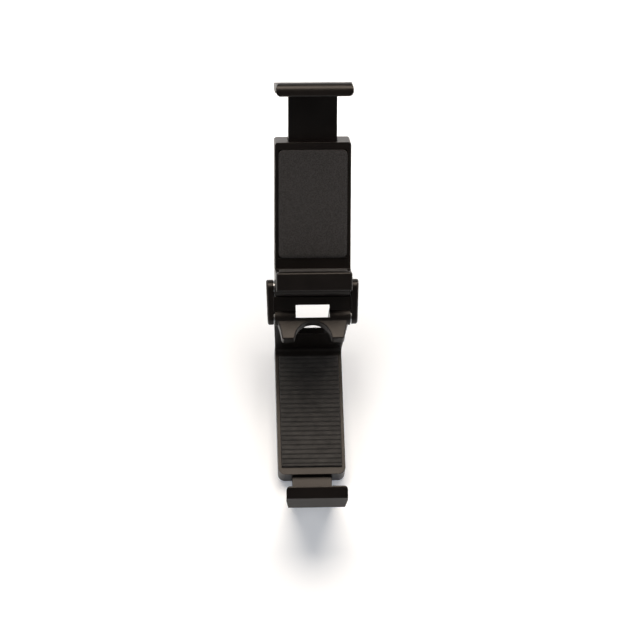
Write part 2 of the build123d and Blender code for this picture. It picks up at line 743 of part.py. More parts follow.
def lower_hook_pad():
    """Rubber lining inside the hook, an L that lies on the front wall and under the lip."""
    wall_y = hook_front_y + hook_wall
    lip_z = hook_lip_top - hook_lip_thickness
    side_view = Polygon(
        (wall_y, hook_pad_bottom),
        (wall_y + hook_pad_thickness, hook_pad_bottom),
        (wall_y + hook_pad_thickness, lip_z - hook_pad_thickness),
        (hook_lip_inner_y, lip_z - hook_pad_thickness),
        (hook_lip_inner_y, lip_z),
        (wall_y, lip_z),
        align=None,
    )
    return across(side_view, wide(hook_base_half - hook_pad_side))


def wire_section(point, outward, forward, wire_radius):
    """Section of the wire at a point of its path."""
    return Plane(point, x_dir=outward, z_dir=forward) * RegularPolygon(wire_radius, wire_sides)


def tension_spring(length, coil_radius, wire_radius, turns):
    """Coil along Z between two posts that stand along Y, with an open hook round each post."""
    coil_length = length - 2 * spring_leg
    pitch = coil_length / turns
    sections = []

    def hook(height, angles):
        for angle in angles:
            across_x, along_z = cos(radians(angle)), sin(radians(angle))
            point = (coil_radius * across_x, 0, height + coil_radius * along_z)
            outward = (across_x, 0, along_z)
            sections.append(wire_section(point, outward, (-along_z, 0, across_x), wire_radius))

    hook(0, range(-180, 1, hook_step))
    steps = turns * steps_per_turn
    for step in range(1, steps):
        angle = 2 * pi * step / steps_per_turn
        outward = (cos(angle), sin(angle), 0)
        height = spring_leg + pitch * step / steps_per_turn
        point = (coil_radius * outward[0], coil_radius * outward[1], height)
        forward = (-sin(angle), cos(angle), pitch / (2 * pi * coil_radius))
        sections.append(wire_section(point, outward, forward, wire_radius))
    hook(length, range(0, 181, hook_step))
    return loft(sections, ruled=True)


def clamp_springs():
    """Two springs that pull the upper jaw down, side by side in its tongue."""
    length = clamp_spring_high - clamp_spring_low
    spring = tension_spring(length, clamp_coil_radius, clamp_wire_radius, clamp_turns)
    pair = []
    for x in (-clamp_spring_x, clamp_spring_x):
        seat = Plane((x, clamp_spring_low, clamp_spring_r), x_dir=(1, 0, 0), z_dir=(0, 1, 0))
        pair.append(seat.location * spring)
    return clamp_frame.location * Compound(pair)


def hook_spring():
    """Spring that pulls the hook in, between its tongue and the spine."""
    length = hook_spring_back - hook_spring_front
    spring = tension_spring(length, hook_coil_radius, hook_wire_radius, hook_turns)
    seat = Plane((0, hook_spring_front, hook_spring_z), x_dir=(1, 0, 0), z_dir=(0, 1, 0))
    return seat.location * spring


parts = {
    "base_bracket": base_bracket(),
    "front_grip_pads": front_grip_pads(),
    "rear_grip_pad": rear_grip_pad(),
    "spine_cover": spine_cover(),
    "spine_cover_screws": spine_cover_screws(),
    "lower_hinge_screws": lower_hinge_screws(),
    "lower_hinge_nuts": lower_hinge_nuts(),
    "lower_hinge_washers": hinge_washers(axis_low_y, axis_low_z, screw_bore),
    "hinge_arm": hinge_arm(),
    "upper_hinge_post": upper_hinge_post(),
    "upper_hinge_screw": upper_hinge_screw(),
    "upper_hinge_washers": hinge_washers(axis_high_y, axis_high_z, post_bore),
    "clamp_housing": clamp_housing(),
    "clamp_rear_cover": clamp_rear_cover(),
    "rear_cover_screws": rear_cover_screws(),
    "lower_jaw_pad": jaw_pad(0, -jaw_pad_proud - pad_seat),
    "back_pad": back_pad(),
    "upper_jaw": upper_jaw(),
    "upper_jaw_pad": jaw_pad(clamp_opening, jaw_pad_proud + pad_seat),
    "clamp_springs": clamp_springs(),
    "lower_hook": lower_hook(),
    "lower_hook_pad": lower_hook_pad(),
    "hook_spring": hook_spring(),
}

for name, shape in parts.items():
    export_step(shape, f"parts/{name}.step")
    print(f"{name}: {len(shape.solids())} solid(s), {shape.volume:.0f} mm3")
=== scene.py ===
import bpy
import bmesh
import json
from math import cos, degrees, pi, radians, sin
from mathutils import Matrix, Vector


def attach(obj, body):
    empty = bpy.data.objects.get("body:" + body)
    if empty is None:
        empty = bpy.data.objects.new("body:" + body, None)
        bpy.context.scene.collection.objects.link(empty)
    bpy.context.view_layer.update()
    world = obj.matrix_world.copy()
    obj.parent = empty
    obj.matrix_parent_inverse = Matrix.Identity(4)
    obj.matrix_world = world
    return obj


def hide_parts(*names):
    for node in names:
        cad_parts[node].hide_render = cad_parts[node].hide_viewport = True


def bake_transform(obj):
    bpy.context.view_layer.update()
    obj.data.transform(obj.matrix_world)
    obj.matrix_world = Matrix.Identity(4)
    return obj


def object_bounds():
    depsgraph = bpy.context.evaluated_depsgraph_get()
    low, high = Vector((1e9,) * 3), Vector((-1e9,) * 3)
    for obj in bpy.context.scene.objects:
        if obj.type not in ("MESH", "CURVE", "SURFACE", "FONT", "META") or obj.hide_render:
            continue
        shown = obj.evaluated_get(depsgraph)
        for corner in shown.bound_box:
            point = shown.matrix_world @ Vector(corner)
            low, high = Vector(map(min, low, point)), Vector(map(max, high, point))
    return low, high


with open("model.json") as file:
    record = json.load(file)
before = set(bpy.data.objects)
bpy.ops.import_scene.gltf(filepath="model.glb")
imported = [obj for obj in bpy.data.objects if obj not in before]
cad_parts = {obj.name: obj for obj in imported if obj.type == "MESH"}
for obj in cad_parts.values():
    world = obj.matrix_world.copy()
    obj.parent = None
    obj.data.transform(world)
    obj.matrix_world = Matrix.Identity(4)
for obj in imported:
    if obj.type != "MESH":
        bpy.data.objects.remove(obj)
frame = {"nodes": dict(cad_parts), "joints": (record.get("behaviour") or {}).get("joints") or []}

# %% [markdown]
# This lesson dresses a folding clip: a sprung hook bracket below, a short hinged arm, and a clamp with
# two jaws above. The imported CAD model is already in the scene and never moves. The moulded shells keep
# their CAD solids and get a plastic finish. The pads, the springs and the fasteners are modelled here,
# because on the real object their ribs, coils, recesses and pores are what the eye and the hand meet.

cad_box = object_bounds()
joints = {joint["name"]: joint for joint in frame["joints"]}
mm = 0.001
x_axis, y_axis, z_axis = Vector((1, 0, 0)), Vector((0, 1, 0)), Vector((0, 0, 1))
print("CAD box in mm:", [[round(value / mm, 1) for value in corner] for corner in cad_box])
print("joints:", sorted(joints))

# %% [markdown]
# The clamp leans back at rest, so a piece on it is easier to model in the clamp's own directions. Those
# directions come from the joints: the jaw slides along the long side of the clamp, and the cross product
# with the hinge axis points out of its front. A matrix built from them carries a finished mesh to its
# place, which is better than turning the object, because every piece has to end at the origin, unturned.

# %% The clamp's own directions
clamp_along = Vector(joints["jaw_slide"]["axis"])
clamp_out = x_axis.cross(clamp_along)
clamp_turn = Matrix((x_axis, clamp_along, clamp_out)).transposed().to_4x4()
clamp_place = Matrix.Translation(Vector(joints["clamp_tilt"]["pos_m"])) @ clamp_turn
upright_place = Matrix.Identity(4)
print("clamp leans by", round(degrees(clamp_along.angle(y_axis)), 1), "degrees")

# %% [markdown]
# New pieces take their sizes from the CAD nodes that they stand for. A node's mesh is loose triangles,
# so a copy is merged first. Its connected islands are then the separate solids of that node, such as
# the four screws of a cover, and each island is measured in the directions that suit it.

# %% Measuring the CAD nodes
weld = 1e-6
flat_angle = radians(1)
order_digits = 5


def merged_copy(node, place):
    """The node's mesh in the directions of place, merged, with its flat faces whole."""
    shape = bmesh.new()
    shape.from_mesh(frame["nodes"][node].data)
    shape.transform(place.inverted())
    bmesh.ops.remove_doubles(shape, verts=shape.verts, dist=weld)
    bmesh.ops.dissolve_limit(shape, angle_limit=flat_angle, verts=shape.verts, edges=shape.edges)
    return shape


def solids_of(node, place):
    """Lowest and highest corner of each solid of a node, from left to right."""
    shape = merged_copy(node, place)
    waiting = set(shape.verts)
    boxes = []
    while waiting:
        island, border = set(), {waiting.pop()}
        while border:
            vertex = border.pop()
            island.add(vertex)
            border |= {edge.other_vert(vertex) for edge in vertex.link_edges} - island
        waiting -= island
        points = [vertex.co for vertex in island]
        low = Vector([min(point[axis] for point in points) for axis in range(3)])
        high = Vector([max(point[axis] for point in points) for axis in range(3)])
        boxes.append((low, high))
    shape.free()
    return sorted(boxes, key=lambda box: (round(box[0].x, order_digits), round(box[0].y, order_digits)))


for node in ("rear_cover_screws", "back_pad"):
    spans = [tuple(round(span / mm, 2) for span in high - low) for low, high in solids_of(node, clamp_place)]
    print(node, "in mm:", spans)

# %% [markdown]
# Every finish is a tree of shader nodes. Written out, each node takes several lines, so a helper adds one
# with its properties and sockets in one call, and another fills the sockets of a node that is there.


# %% Nodes and sockets
def fill(tree, node, **sockets):
    """Give sockets numbers, colours or links. A socket called _0 is the node's first input."""
    for key, value in sockets.items():
        number = key[1:]
        socket = node.inputs[int(number)] if number.isdigit() else node.inputs[key.replace("_", " ")]
        if isinstance(value, bpy.types.NodeSocket):
            tree.links.new(value, socket)
        elif socket.type == "RGBA":
            socket.default_value = (*value, 1)
        else:
            socket.default_value = value


def add_node(tree, kind, settings=None, **sockets):
    """New shader node with its properties set and its sockets filled."""
    node = tree.nodes.new(kind)
    for key, value in (settings or {}).items():
        setattr(node, key, value)
    fill(tree, node, **sockets)
    return node


def new_finish(name):
    """New material, its tree and its shader."""
    material = bpy.data.materials.new(name)
    material.use_nodes = True
    tree = material.node_tree
    return material, tree, tree.nodes["Principled BSDF"]


print("nodes take numbers, colours and links")

# %% [markdown]
# The finishes read Object coordinates, which are metres here because every piece lies at the origin. So the
# grain of a noise is given as a size. Noise seldom leaves the middle of its range, and two ranges say how
# far it is stretched. Colours are mixed by such a value, and a height becomes a bump in the normal.

# %% Noise, colours and relief
noise_core, noise_span = (0.35, 0.65), (0.3, 0.7)
grain_roughness = 0.55


def object_place(tree):
    """Place on the piece, in metres."""
    return add_node(tree, "ShaderNodeTexCoord").outputs["Object"]


def grain(tree, size, detail=3.0, stretch=(1, 1, 1)):
    """Noise whose lumps are about size metres across, from 0 to 1."""
    mapping = add_node(tree, "ShaderNodeMapping", Vector=object_place(tree), Scale=stretch)
    settings = {"Scale": 1 / size, "Detail": detail, "Roughness": grain_roughness}
    noise = add_node(tree, "ShaderNodeTexNoise", Vector=mapping.outputs["Vector"], **settings)
    return noise.outputs[0]


def spread(tree, value, low, high, to_low=0.0, to_high=1.0):
    """Value from low..high to to_low..to_high, and no further."""
    ranges = {"From_Min": low, "From_Max": high, "To_Min": to_low, "To_Max": to_high}
    return add_node(tree, "ShaderNodeMapRange", Value=value, **ranges).outputs["Result"]


def mixed(tree, factor, first, second):
    """Colour between two others, which are inputs 6 and 7 of a Mix node, with the result as output 2."""
    node = add_node(tree, "ShaderNodeMix", {"data_type": "RGBA"}, Factor=factor, _6=first, _7=second)
    return node.outputs[2]


def computed(tree, operation, first, second):
    """Result of a Math node on two values."""
    node = add_node(tree, "ShaderNodeMath", {"operation": operation}, _0=first, _1=second)
    return node.outputs["Value"]


def bumped(tree, height, depth, **normal):
    """Normal of a surface that rises by depth metres where height is 1."""
    node = add_node(tree, "ShaderNodeBump", Strength=1.0, Distance=depth, Height=height, **normal)
    return node.outputs["Normal"]


def rounded_normal(tree, radius, samples=4):
    """Normal of a surface whose hard edges are rounded in shading."""
    return add_node(tree, "ShaderNodeBevel", {"samples": samples}, Radius=radius).outputs["Normal"]


print("noise is read between", noise_core, "or", noise_span)

# %% [markdown]
# The shells are injection-moulded black plastic. Close up it isn't one black: the mould leaves a fine
# spark-eroded grain, handling polishes the edges and greys them a little, and flow in the mould makes the
# sheen drift over centimetres. The Bevel node gives every hard CAD edge a small round in shading, and the
# angle between that round and the flat face shows where the edges are, so wear can follow them. Modelling
# the rounds would change meshes that have to stay as they are.

# %% Black moulded plastic
mould_grain = 0.28 * mm
mould_depth = 0.010 * mm
flow_size = 14 * mm
edge_round = 0.28 * mm
alike_on_flat, alike_on_edge = 0.985, 0.86      # cosine between the flat and the rounded normal
wear_patch = 2.2 * mm
wear_range = (0.38, 0.62)
plastic_roughness, sheen_drift = 0.38, 0.025
plastic_dark = (0.0034, 0.0026, 0.0025)
plastic_light = (0.0050, 0.0039, 0.0036)
plastic_worn = (0.022, 0.018, 0.016)
plastic_warmth = (1.0, 0.95, 0.91)
plastic_gloss = 0.27


def edge_mask(tree, rounded):
    """1 on the edges of a piece and 0 on its flat faces, broken up by noise."""
    flat = add_node(tree, "ShaderNodeNewGeometry").outputs["Normal"]
    alike = add_node(tree, "ShaderNodeVectorMath", {"operation": "DOT_PRODUCT"}, _0=rounded, _1=flat)
    edge = spread(tree, alike.outputs["Value"], alike_on_flat, alike_on_edge)
    return computed(tree, "MULTIPLY", edge, spread(tree, grain(tree, wear_patch), *wear_range))


def moulded_plastic():
    """Grained moulded plastic with worn edges."""
    material, tree, shader = new_finish("black_moulded_plastic")
    rounded = rounded_normal(tree, edge_round, samples=6)
    flow = grain(tree, flow_size)
    body = mixed(tree, spread(tree, flow, *noise_core), plastic_dark, plastic_light)
    sheen = (plastic_roughness - sheen_drift, plastic_roughness + sheen_drift)
    fill(
        tree, shader,
        Base_Color=mixed(tree, edge_mask(tree, rounded), body, plastic_worn),
        Roughness=spread(tree, flow, *noise_span, *sheen),
        Normal=bumped(tree, grain(tree, mould_grain, detail=4.0), mould_depth, Normal=rounded),
        Specular_IOR_Level=plastic_gloss,
        Specular_Tint=plastic_warmth,
    )
    return material


black_plastic = moulded_plastic()
shells = (
    "base_bracket", "spine_cover", "lower_hook", "hinge_arm",
    "clamp_housing", "clamp_rear_cover", "upper_jaw",
)
for node in shells:
    finishes = frame["nodes"][node].data.materials
    finishes.clear()
    finishes.append(black_plastic)
print("plastic on", len(shells), "shells")

# %% [markdown]
# The grip pads are another black. Silicone rubber is matt, a touch greyer, and picks up pale dust. Noise
# of three sizes gives it: wide patches in its colour and sheen, specks of dust, and a fine bump.

# %% Silicone rubber
rubber_dark = (0.014, 0.0135, 0.0135)
rubber_light = (0.024, 0.023, 0.023)
rubber_patch = 5 * mm
dust = (0.10, 0.095, 0.088)
dust_speck = 0.35 * mm
dust_range, dust_cover = (0.66, 0.74), 0.5
wiped_patch = 3 * mm
rubber_roughness = (0.62, 0.78)
rubber_edge = 0.1 * mm
rubber_grain, rubber_depth = 0.15 * mm, 0.012 * mm
rubber_gloss, rubber_sheen = 0.35, 0.04


def grip_rubber():
    """Matt silicone with a little dust."""
    material, tree, shader = new_finish("grip_silicone")
    body = mixed(tree, spread(tree, grain(tree, rubber_patch), *noise_core), rubber_dark, rubber_light)
    specks = spread(tree, grain(tree, dust_speck, detail=6.0), *dust_range, to_high=dust_cover)
    rounded = rounded_normal(tree, rubber_edge)
    fill(
        tree, shader,
        Base_Color=mixed(tree, specks, body, dust),
        Roughness=spread(tree, grain(tree, wiped_patch), *noise_span, *rubber_roughness),
        Normal=bumped(tree, grain(tree, rubber_grain), rubber_depth, Normal=rounded),
        Specular_IOR_Level=rubber_gloss,
        Sheen_Weight=rubber_sheen,
    )
    return material


rubber = grip_rubber()
print("soft finish:", rubber.name)

# %% [markdown]
# The long pad is closed-cell foam. Its skin is pitted with pores, which a Voronoi texture gives, since its
# cells have the round bottoms that plain noise lacks. Their bottoms get a darker colour, which is painted
# shade in the pits.

# %% Foam
# The first colour is painted shade at the bottom of each pore; the second is the foam skin's own colour.
foam_pore_shade = (0.010, 0.0098, 0.0100)
foam_skin_colour = (0.024, 0.023, 0.024)
pore_size, pore_depth = 0.42 * mm, 0.05 * mm
pore_range = (0.15, 0.62)      # from the middle of a pore to its rim, in cells
pore_roughness, skin_roughness = 0.95, 0.8
foam_wave, foam_wave_depth = 3 * mm, 0.05 * mm
foam_gloss, foam_sheen = 0.25, 0.08


def pad_foam():
    """Foam skin with pores, their bottoms darkened as painted shade."""
    material, tree, shader = new_finish("pad_foam")
    cells = add_node(
        tree, "ShaderNodeTexVoronoi", {"feature": "F1"}, Vector=object_place(tree), Scale=1 / pore_size
    )
    pores = spread(tree, cells.outputs["Distance"], *pore_range)
    wavy = bumped(tree, grain(tree, foam_wave), foam_wave_depth)
    fill(
        tree, shader,
        # The middle of each pore takes the darker colour: painted shade in the pits.
        Base_Color=mixed(tree, pores, foam_pore_shade, foam_skin_colour),
        Roughness=spread(tree, pores, 0.0, 1.0, pore_roughness, skin_roughness),
        Normal=bumped(tree, pores, pore_depth, Normal=wavy),
        Specular_IOR_Level=foam_gloss,
        Sheen_Weight=foam_sheen,
    )
    return material


foam = pad_foam()
print("soft finish:", foam.name)

# %% [markdown]
# The fasteners are zinc-plated steel: bright, slightly blue, with a cloudy passivated film and fine
# tumbling scratches. The springs are drawn wire, darker and smoother. Drawing leaves lines where tumbling
# leaves dots, so the noise of the wire is stretched along Y, the way in which the slides run.

# %% Zinc plate and spring wire
zinc_bright = (0.60, 0.61, 0.62)
zinc_cloudy = (0.42, 0.43, 0.46)
wire_bright = (0.42, 0.42, 0.43)
wire_dark = (0.22, 0.22, 0.235)
zinc_cloud, wire_cloud = 1.1 * mm, 2.5 * mm
zinc_roughness, wire_roughness = 0.30, 0.26
tumbled, drawn = (1, 1, 1), (1, 0.15, 1)
scratch_size, scratch_depth = 0.22 * mm, 0.004 * mm
scratch_smoother, scratch_rougher = 0.07, 0.1
metal_edge = 0.06 * mm


def metal(name, bright, dull, cloud_size, roughness, stretch):
    """Metal whose film and scratches change its colour and sheen."""
    material, tree, shader = new_finish(name)
    clouds = spread(tree, grain(tree, cloud_size), *noise_core)
    scratches = grain(tree, scratch_size, detail=5.0, stretch=stretch)
    sheen = (roughness - scratch_smoother, roughness + scratch_rougher)
    fill(
        tree, shader,
        Base_Color=mixed(tree, clouds, bright, dull),
        Roughness=spread(tree, scratches, *noise_span, *sheen),
        Normal=bumped(tree, scratches, scratch_depth, Normal=rounded_normal(tree, metal_edge)),
        Metallic=1.0,
    )
    return material


zinc = metal("zinc_plate", zinc_bright, zinc_cloudy, zinc_cloud, zinc_roughness, tumbled)
wire = metal("drawn_wire", wire_bright, wire_dark, wire_cloud, wire_roughness, drawn)
print("metals:", zinc.name, wire.name)

# %% [markdown]
# One helper turns a bmesh into a finished piece: doubles merged, faces outward, the mesh carried to its
# place, curved faces smooth and hard edges sharp. It also names the body that the piece rides on and the
# CAD node that it stands for.

# %% From a bmesh to a piece
smooth_limit = radians(32)


def make_piece(name, shape, place, finish, body, node):
    """Finished piece that rides on a body and replaces a CAD node."""
    bmesh.ops.remove_doubles(shape, verts=shape.verts, dist=weld)
    bmesh.ops.recalc_face_normals(shape, faces=shape.faces)
    shape.transform(place)
    mesh = bpy.data.meshes.new(name)
    shape.to_mesh(mesh)
    shape.free()
    mesh.materials.append(finish)
    mesh.polygons.foreach_set("use_smooth", [True] * len(mesh.polygons))
    mesh.set_sharp_from_angle(angle=smooth_limit)
    piece = bpy.data.objects.new(name, mesh)
    bpy.context.scene.collection.objects.link(piece)
    if body:
        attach(piece, body)
    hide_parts(node)
    print(f"{name}: {len(mesh.polygons)} faces for {node}")
    return piece


print("edges stay sharp above", round(degrees(smooth_limit)), "degrees")

# %% [markdown]
# The grip pads are moulded silicone with cross ribs. A pad starts as its own CAD solid, merged, so that it
# fills its recess. Each groove is three cuts with a plane, and the middle line of the cuts is pushed in,
# which leaves a V. A bevel then rounds every rib, because sharp rubber edges don't exist. Only the two small
# front pads keep plain grooves: a bevel is never wider than the shortest edge beside it allows, and the cuts
# leave very short edges in their curved outline. The rubber's own Bevel node rounds them in shading.

# %% Grooved silicone pads
rib_pitch, rear_rib_pitch = 1.6 * mm, 2.0 * mm
groove_half = 0.38 * mm
groove_depth = 0.42 * mm
groove_margin, front_margin, hook_margin = 1.1 * mm, 0.9 * mm, 1.8 * mm
pad_round, pad_segments = 0.16 * mm, 2
hard_edge = radians(25)
touching = 10 * weld


def cut_across(shape, point, direction):
    """Cut every face where a plane meets it."""
    everything = shape.verts[:] + shape.edges[:] + shape.faces[:]
    bmesh.ops.bisect_plane(shape, geom=everything, dist=weld, plane_co=point, plane_no=direction)


def cut_grooves(shape, along, out, level, start, end, pitch):
    """V grooves in the face that looks along out at a level, set side by side along a direction."""
    count = max(1, round((end - start) / pitch))
    step = (end - start) / count
    for index in range(count + 1):
        middle = start + index * step
        for offset in (-groove_half, 0, groove_half):
            cut_across(shape, along * (middle + offset), along)
        line = [
            vertex
            for vertex in shape.verts
            if abs(vertex.co.dot(along) - middle) < touching and abs(vertex.co.dot(out) - level) < touching
        ]
        bmesh.ops.translate(shape, verts=line, vec=out * -groove_depth)


def rounded_off(shape, edges, offset, segments):
    """Round bevel on some edges, nowhere wider than its neighbours allow."""
    bmesh.ops.bevel(
        shape, geom=edges, offset=offset, affect="EDGES", segments=segments, profile=0.5, material=-1,
        offset_type="OFFSET", clamp_overlap=True,
    )


def round_hard_edges(shape, offset):
    """Small round on every hard edge."""
    hard = [edge for edge in shape.edges if len(edge.link_faces) == 2 and edge.calc_face_angle() > hard_edge]
    rounded_off(shape, hard, offset, pad_segments)


def grooved_pad(
    name, node, place, along, out, body, pitch=rib_pitch, margin=groove_margin, with_round=True
):
    """Silicone pad with grooves in its outer face."""
    shape = merged_copy(node, place)
    levels = [vertex.co.dot(out) for vertex in shape.verts]
    stations = [vertex.co.dot(along) for vertex in shape.verts]
    cut_grooves(shape, along, out, max(levels), min(stations) + margin, max(stations) - margin, pitch)
    if with_round:
        round_hard_edges(shape, pad_round)
    pad = make_piece(name, shape, place, rubber, body, node)


grooved_pad(
    "ribbed_rear_pad", "rear_grip_pad", upright_place, y_axis, z_axis, "bracket", pitch=rear_rib_pitch
)
grooved_pad(
    "ribbed_front_pads", "front_grip_pads", upright_place, y_axis, -z_axis, "bracket",
    margin=front_margin, with_round=False,
)
grooved_pad("ribbed_lower_jaw_pad", "lower_jaw_pad", clamp_place, z_axis, y_axis, "clamp")
grooved_pad("ribbed_upper_jaw_pad", "upper_jaw_pad", clamp_place, z_axis, -y_axis, "upper_jaw")
grooved_pad("ribbed_hook_lining", "lower_hook_pad", upright_place, z_axis, y_axis, "hook", margin=hook_margin)

# %% [markdown]
# The long pad on the clamp is foam sheet, cut with rounded corners and slightly crowned, since the cutting
# press squeezes its edges. It is a block whose upright corner edges are beveled wide, cut into a fine grid
# by planes. Every point of its front then sinks by how near it is to the rim.

# %% Foam pad
foam_corner, corner_segments = 2.2 * mm, 6
foam_rim = 1.6 * mm
foam_drop = 0.45 * mm
foam_cell = 0.9 * mm
upright_share = 0.9      # of an edge's length that is height, from which it counts as upright


def crowned_pad(name, node, place, body):
    """Foam block with rounded corners and a front that sinks towards its rim."""
    low, high = solids_of(node, place)[0]
    shape = bmesh.new()
    bmesh.ops.create_cube(shape, size=1.0)
    bmesh.ops.scale(shape, vec=high - low, verts=shape.verts)
    bmesh.ops.translate(shape, vec=(low + high) / 2, verts=shape.verts)
    upright = []
    for edge in shape.edges:
        direction = (edge.verts[0].co - edge.verts[1].co).normalized()
        if abs(direction.z) > upright_share:
            upright.append(edge)
    rounded_off(shape, upright, foam_corner, corner_segments)
    for axis in (x_axis, y_axis):
        span = (high - low).dot(axis)
        cuts = int(span / foam_cell)
        for index in range(1, cuts):
            cut_across(shape, low + axis * (span * index / cuts), axis)
    for vertex in shape.verts:
        if vertex.co.z > high.z - weld:
            x, y = vertex.co.xy
            rim = min(x - low.x, high.x - x, y - low.y, high.y - y)
            nearness = max(0.0, 1 - rim / foam_rim)
            vertex.co.z -= foam_drop * nearness * nearness
    pad = make_piece(name, shape, place, foam, body, node)


crowned_pad("foam_back_pad", "back_pad", clamp_place, "clamp")

# %% [markdown]
# A screw is a turned part, so it is spun from a half section: a few points on a plane, turned round the
# axis. The profile runs from the middle of the head to the tip. The seam and the poles are merged at once,
# because the Booleans that follow need a closed shape.

# %% Turned parts
turn_steps = 40


def turned(profile, steps=turn_steps):
    """Turned shape round Z. Its points (radius, height) end on the axis, or where they start."""
    shape = bmesh.new()
    points = [shape.verts.new((radius, 0, height)) for radius, height in profile]
    edges = [shape.edges.new(pair) for pair in zip(points, points[1:])]
    bmesh.ops.spin(
        shape, geom=points + edges, cent=(0, 0, 0), axis=(0, 0, 1), angle=2 * pi, steps=steps, use_merge=True
    )
    bmesh.ops.remove_doubles(shape, verts=shape.verts, dist=weld)
    bmesh.ops.recalc_face_normals(shape, faces=shape.faces)
    return shape


print("steps in a full turn:", turn_steps)

# %% [markdown]
# The cover screws have a cross recess. A press makes the real one with a tapered punch, so the punch is
# modelled here, as two blades across each other, and a Boolean takes its shape out of a head later.

# %% Cross recess
recess_width, recess_span, recess_depth = 0.42 * mm, 2.3 * mm, 0.55 * mm
recess_taper = (0.45, 0.6, 1)      # of the blade's length and width, left at its tip


def combined(shape, other, operation):
    """Boolean of two bmeshes."""
    objects = []
    for source in (shape, other):
        mesh = bpy.data.meshes.new("boolean")
        source.to_mesh(mesh)
        source.free()
        objects.append(bpy.data.objects.new("boolean", mesh))
        bpy.context.scene.collection.objects.link(objects[-1])
    modifier = objects[0].modifiers.new("boolean", "BOOLEAN")
    modifier.operation = operation
    modifier.solver = "EXACT"
    modifier.object = objects[1]
    evaluated = objects[0].evaluated_get(bpy.context.evaluated_depsgraph_get())
    result = bpy.data.meshes.new_from_object(evaluated)
    made = bmesh.new()
    made.from_mesh(result)
    for item in objects:
        bpy.data.objects.remove(item)
    bpy.data.meshes.remove(result)
    return made


def cross_punch():
    """Tapered cross that points up into a head that looks down at level 0."""
    blades = []
    for turn in (0, pi / 2):
        blade = bmesh.new()
        bmesh.ops.create_cube(blade, size=1.0)
        bmesh.ops.scale(blade, vec=(recess_span, recess_width, 2 * recess_depth), verts=blade.verts)
        tip = [vertex for vertex in blade.verts if vertex.co.z > 0]
        bmesh.ops.scale(blade, vec=recess_taper, verts=tip)
        bmesh.ops.rotate(blade, cent=(0, 0, 0), matrix=Matrix.Rotation(turn, 3, "Z"), verts=blade.verts)
        blades.append(blade)
    return combined(*blades, "UNION")


print("recess in mm:", [round(size / mm, 2) for size in (recess_width, recess_span, recess_depth)])

# %% [markdown]
# A thread is a small ridge, spun with a rise at every step. Its root is sunk in the core of the screw, and
# both stay closed shapes of their own in one mesh, which is safer than a Boolean along a whole helix.

# %% Thread
thread_pitch, thread_depth = 0.62 * mm, 0.2 * mm
thread_flank = 0.4      # of the pitch, on each side of the crest
thread_steps = 16


def thread_ridge(radius, depth, pitch, low, turns):
    """Helical ridge round Z, with its root sunk in the shank."""
    shape = bmesh.new()
    root = radius - depth
    section = ((root, -pitch * thread_flank), (radius, 0), (root, pitch * thread_flank))
    points = [shape.verts.new((r, 0, low + height)) for r, height in section]
    face = shape.faces.new(points)
    bmesh.ops.spin(
        shape, geom=[face] + list(face.edges) + points, cent=(0, 0, 0), axis=(0, 0, 1),
        dvec=(0, 0, pitch / thread_steps), angle=2 * pi * turns, steps=round(turns * thread_steps),
    )
    return shape


print("thread pitch in mm:", round(thread_pitch / mm, 2))

# %% [markdown]
# The two covers are held by small self-tapping screws with a low domed head. Each has the place and the
# sizes of its CAD solid. The head of that solid is a plain cylinder, so the dome comes from here.

# %% Cover screws
head_share = 0.164                # of the screw's whole length, as in its CAD solid
shank_share = 0.8 / 1.7           # of the head's radius
crown_share, crown_drop = 0.55, 0.02           # of the head's radius and of its height
head_dome = 0.22 * mm
shoulder_share, shoulder_drop = 0.86, 0.45     # of the head's radius and of the dome's height
rim_drop = 1.3                                 # of the dome's height
tip_radius, tip_length = 0.12 * mm, 0.9 * mm
root_depth = 1.15                 # of the thread's depth, so that the ridge is sunk in the core
plain_neck, plain_ends = 0.35 * mm, 1.2 * mm


def joined(shapes):
    """Several bmeshes as one."""
    whole = bmesh.new()
    for shape in shapes:
        part = bpy.data.meshes.new("part")
        shape.to_mesh(part)
        shape.free()
        whole.from_mesh(part)
        bpy.data.meshes.remove(part)
    return whole


def cover_screw(low, high):
    """Tapping screw with its head down, in the box of its CAD solid."""
    length = high.z - low.z
    head = (high.x - low.x) / 2
    neck = head_share * length
    shank = head * shank_share
    core = shank - thread_depth
    profile = (
        (0, 0),
        (head * crown_share, neck * crown_drop),
        (head * shoulder_share, head_dome * shoulder_drop),
        (head, head_dome * rim_drop),
        (head, neck),
        (core, neck),
        (core, length - tip_length),
        (tip_radius, length),
        (0, length),
    )
    screw = combined(turned(profile), cross_punch(), "DIFFERENCE")
    turns = (length - neck - plain_ends) / thread_pitch
    ridge = thread_ridge(shank, thread_depth * root_depth, thread_pitch, neck + plain_neck, turns)
    whole = joined([screw, ridge])
    foot = Vector(((low.x + high.x) / 2, (low.y + high.y) / 2, low.z))
    bmesh.ops.translate(whole, vec=foot, verts=whole.verts)
    return whole


def cover_screws(name, node, place, body):
    """All the screws of one cover."""
    screws = [cover_screw(low, high) for low, high in solids_of(node, place)]
    make_piece(name, joined(screws), place, zinc, body, node)


cover_screws("cross_recess_spine_screws", "spine_cover_screws", upright_place, "bracket")
cover_screws("cross_recess_rear_screws", "rear_cover_screws", clamp_place, "clamp")

# %% [markdown]
# The hinges run on short socket-head screws and a hollow headed post, closed by a screw of its own. Their
# heads are knurled round the rim, so that fingers can start them: the rim of the spun head has many steps,
# and every other line of it is drawn in a little. The hexagon socket is a Boolean with a six-sided prism.

# %% Socket heads
knurl_steps = 56
knurl_depth = 0.06 * mm
socket_width, socket_depth = 1.6 * mm, 0.7 * mm
hinge_head_height = 1.2 * mm
rim_bevel = 0.16 * mm
hexagon = 6


def hexagon_prism(flat_width, low, high):
    """Upright six-sided prism with a width across its flats."""
    shape = bmesh.new()
    radius = flat_width / 2 / cos(pi / hexagon)
    bmesh.ops.create_cone(
        shape, cap_ends=True, cap_tris=False, segments=hexagon, radius1=radius, radius2=radius,
        depth=high - low, matrix=Matrix.Translation((0, 0, (low + high) / 2)),
    )
    return shape


